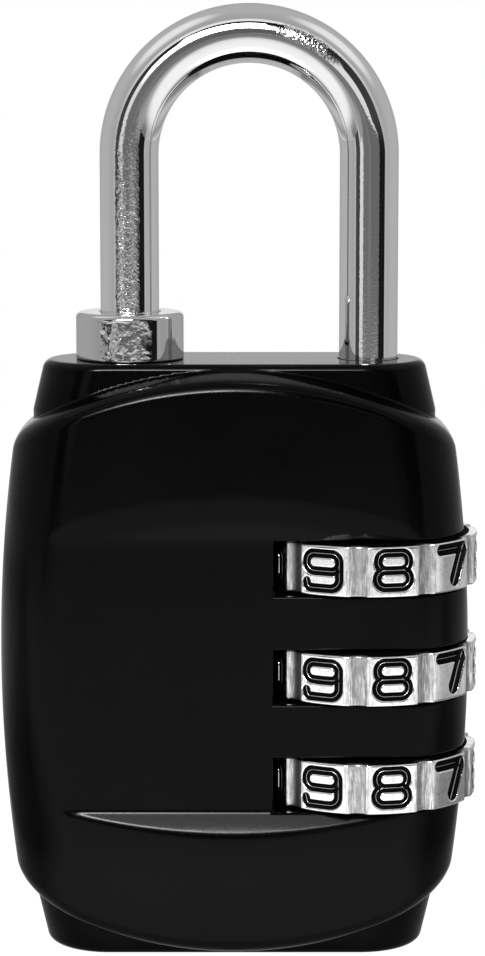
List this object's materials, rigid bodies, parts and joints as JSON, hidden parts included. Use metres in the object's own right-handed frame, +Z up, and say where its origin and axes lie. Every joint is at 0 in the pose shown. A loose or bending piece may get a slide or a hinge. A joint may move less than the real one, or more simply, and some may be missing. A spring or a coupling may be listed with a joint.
{
  "type": "luggage combination padlock",
  "caption": "Small luggage padlock: black die-cast body with number dials on its side, a chrome shackle whose long leg runs through the dials, and a chrome socket for its toe.",
  "frame": {"origin": "middle of the body's flat base", "axes": "+Z up through the shackle, +X towards the side with the dials, +Y back; the front face looks along -Y"},
  "size_m": [0.0327, 0.0152, 0.0645],
  "materials": {
    "black_paint": "satin black paint with a fine grain over a zinc casting",
    "black_paint_plug": "satin black paint",
    "collar_chrome": "bright chrome plate, finely pitted round its middle",
    "shackle_chrome": "mirror chrome plate, finely pitted low on the short leg",
    "dial_chrome": "bright chrome plate with black-filled engraved numbers",
    "brass": "turned brass",
    "steel": "ground steel",
    "spring_steel": "drawn spring steel"
  },
  "bodies": {
    "body": {"body_casting": "black_paint", "base_plug": "black_paint_plug", "socket_collar": "collar_chrome", "top_washer": "steel", "reset_spring": "spring_steel", "detent_spring_1": "spring_steel", "detent_spring_2": "spring_steel", "detent_spring_3": "spring_steel"},
    "shackle": {"shackle": "shackle_chrome", "shackle_clip": "spring_steel"},
    "dial_1": {"dial_ring_1": "dial_chrome"},
    "dial_2": {"dial_ring_2": "dial_chrome"},
    "dial_3": {"dial_ring_3": "dial_chrome"},
    "reset_carrier": {"thrust_washer": "steel"},
    "sleeve_1": {"tumbler_sleeve_1": "brass"},
    "sleeve_2": {"tumbler_sleeve_2": "brass"},
    "sleeve_3": {"tumbler_sleeve_3": "brass"},
    "ball_1": {"detent_ball_1": "steel"},
    "ball_2": {"detent_ball_2": "steel"},
    "ball_3": {"detent_ball_3": "steel"}
  },
  "joints": [
    {"name": "shackle_lift", "type": "slide", "parent": "body", "child": "shackle", "axis": [0, 0, 1], "range_m": [0, 0.0042]},
    {"name": "reset_shift", "type": "slide", "parent": "body", "child": "reset_carrier", "axis": [0, 0, 1], "range_m": [-0.0013, 0], "stiffness_N_per_m": 300, "springref_m": 0.002, "deforming": ["reset_spring"]},
    {"name": "dial_1_spin", "type": "hinge", "parent": "body", "child": "dial_1", "pos_m": [0.0091, 0, 0.0271], "axis": [0, 0, 1], "continuous": true},
    {"name": "dial_2_spin", "type": "hinge", "parent": "body", "child": "dial_2", "pos_m": [0.0091, 0, 0.0197], "axis": [0, 0, 1], "continuous": true},
    {"name": "dial_3_spin", "type": "hinge", "parent": "body", "child": "dial_3", "pos_m": [0.0091, 0, 0.0123], "axis": [0, 0, 1], "continuous": true},
    {"name": "sleeve_1_spin", "type": "hinge", "parent": "reset_carrier", "child": "sleeve_1", "pos_m": [0.0091, 0, 0.0271], "axis": [0, 0, 1], "continuous": true},
    {"name": "sleeve_2_spin", "type": "hinge", "parent": "reset_carrier", "child": "sleeve_2", "pos_m": [0.0091, 0, 0.0197], "axis": [0, 0, 1], "continuous": true},
    {"name": "sleeve_3_spin", "type": "hinge", "parent": "reset_carrier", "child": "sleeve_3", "pos_m": [0.0091, 0, 0.0123], "axis": [0, 0, 1], "continuous": true},
    {"name": "detent_1_click", "type": "slide", "parent": "body", "child": "ball_1", "axis": [0.9799, 0.1994, 0], "range_m": [0, 0.0003], "stiffness_N_per_m": 300, "springref_m": 0.001},
    {"name": "detent_2_click", "type": "slide", "parent": "body", "child": "ball_2", "axis": [0.9799, 0.1994, 0], "range_m": [0, 0.0003], "stiffness_N_per_m": 300, "springref_m": 0.001},
    {"name": "detent_3_click", "type": "slide", "parent": "body", "child": "ball_3", "axis": [0.9799, 0.1994, 0], "range_m": [0, 0.0003], "stiffness_N_per_m": 300, "springref_m": 0.001}
  ],
  "couplings": [
    {"joint": "sleeve_1_spin", "follows": "dial_1_spin", "ratio": 1},
    {"joint": "sleeve_2_spin", "follows": "dial_2_spin", "ratio": 1},
    {"joint": "sleeve_3_spin", "follows": "dial_3_spin", "ratio": 1}
  ]
}
